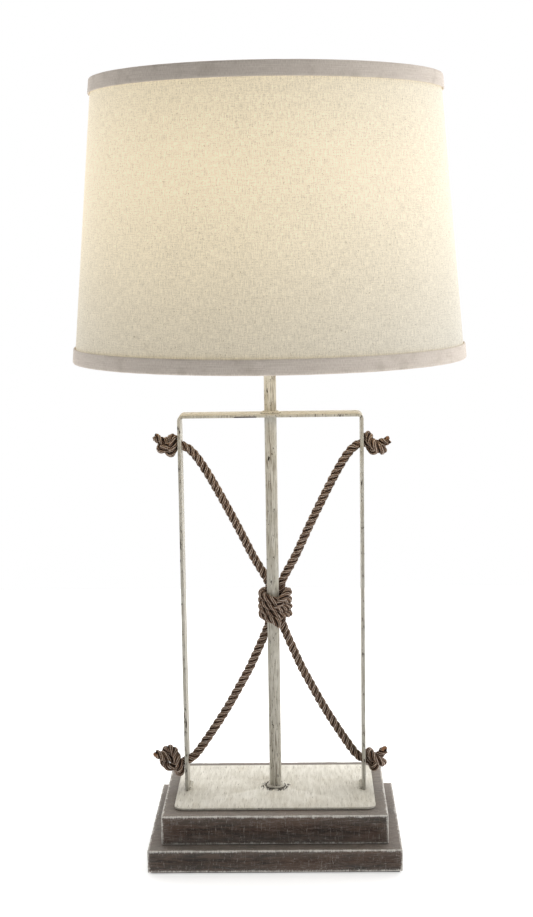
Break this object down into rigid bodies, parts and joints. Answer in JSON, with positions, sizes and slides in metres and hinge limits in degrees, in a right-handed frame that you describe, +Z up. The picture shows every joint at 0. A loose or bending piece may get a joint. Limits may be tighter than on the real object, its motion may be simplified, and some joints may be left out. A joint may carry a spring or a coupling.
{
  "type": "table lamp",
  "caption": "Table lamp with a tapered fabric drum shade on a steel pole; a flat-bar frame with lashed rope stands on a stepped wooden base.",
  "frame": {"origin": "middle of the flat felt underside of the base, straight below the pole", "axes": "+Z up along the pole, +X to the right along the frame's width, front towards -Y"},
  "size_m": [0.406, 0.406, 0.8102],
  "materials": {
    "felt": "dark brown pressed felt",
    "limed_wood": "dark brown-grey weathered wood, limed in the grain, edges rubbed pale",
    "cream_paint": "antique cream paint, brushed with thin dark streaks",
    "zinc_steel": "plain zinc",
    "black_plastic": "moulded black",
    "brown_rope": "three-strand brown rope, dull",
    "brass": "satin",
    "fibre_card": "plain fibre",
    "black_glass": "glossy insulator",
    "bulb_cap_metal": "bright",
    "frosted_glass": "frosted white, lit warm",
    "cream_finial": "antique cream paint",
    "shade_linen": "off-white slub linen, lit from inside",
    "shade_liner": "translucent white styrene backing",
    "shade_tape": "rolled linen tape",
    "ring_wire": "white enamelled wire"
  },
  "bodies": {
    "stand": {"felt_pad": "felt", "lower_plinth": "limed_wood", "upper_plinth": "limed_wood", "base_plate": "cream_paint", "base_screw_1": "zinc_steel", "base_screw_2": "zinc_steel", "base_screw_3": "zinc_steel", "base_screw_4": "zinc_steel", "foot_pipe": "zinc_steel", "base_washer": "zinc_steel", "base_nut": "zinc_steel", "cord_outlet_bushing": "black_plastic", "pole": "cream_paint", "rope_frame": "cream_paint", "pole_foot_weld": "cream_paint", "pole_bar_weld": "cream_paint", "leg_weld_left": "cream_paint", "leg_weld_right": "cream_paint", "rope_left": "brown_rope", "rope_right": "brown_rope", "rope_lashing": "brown_rope", "neck_nipple": "zinc_steel", "harp_saddle": "brass", "socket_cap": "brass", "socket_shell": "brass", "socket_liner": "fibre_card", "switch_housing": "black_plastic", "screw_shell": "brass", "centre_contact": "brass", "harp": "brass", "harp_stud": "brass"},
    "switch_knob": {"switch_knob": "black_plastic"},
    "bulb": {"bulb_contact": "black_glass", "bulb_cap": "bulb_cap_metal", "bulb_glass": "frosted_glass"},
    "sleeve_left": {"harp_sleeve_left": "brass"},
    "sleeve_right": {"harp_sleeve_right": "brass"},
    "shade": {"shade_fabric": "shade_linen", "shade_liner": "shade_liner", "shade_bottom_trim": "shade_tape", "shade_top_trim": "shade_tape", "shade_lower_ring": "ring_wire", "shade_spider": "ring_wire"},
    "finial": {"finial": "cream_finial"}
  },
  "joints": [
    {"name": "switch_knob_turn", "type": "hinge", "parent": "stand", "child": "switch_knob", "pos_m": [0, -0.02, 0.615], "axis": [0, -1, 0], "continuous": true},
    {"name": "bulb_turn", "type": "hinge", "parent": "stand", "child": "bulb", "pos_m": [0, 0, 0.64], "axis": [0, 0, 1], "continuous": true},
    {"name": "harp_sleeve_left_lift", "type": "slide", "parent": "stand", "child": "sleeve_left", "axis": [0, 0, 1], "range_m": [0, 0.012]},
    {"name": "harp_sleeve_right_lift", "type": "slide", "parent": "stand", "child": "sleeve_right", "axis": [0, 0, 1], "range_m": [0, 0.012]},
    {"name": "shade_turn", "type": "hinge", "parent": "stand", "child": "shade", "pos_m": [0, 0, 0.787], "axis": [0, 0, 1], "continuous": true},
    {"name": "finial_turn", "type": "hinge", "parent": "stand", "child": "finial", "pos_m": [0, 0, 0.8], "axis": [0, 0, 1], "continuous": true}
  ]
}
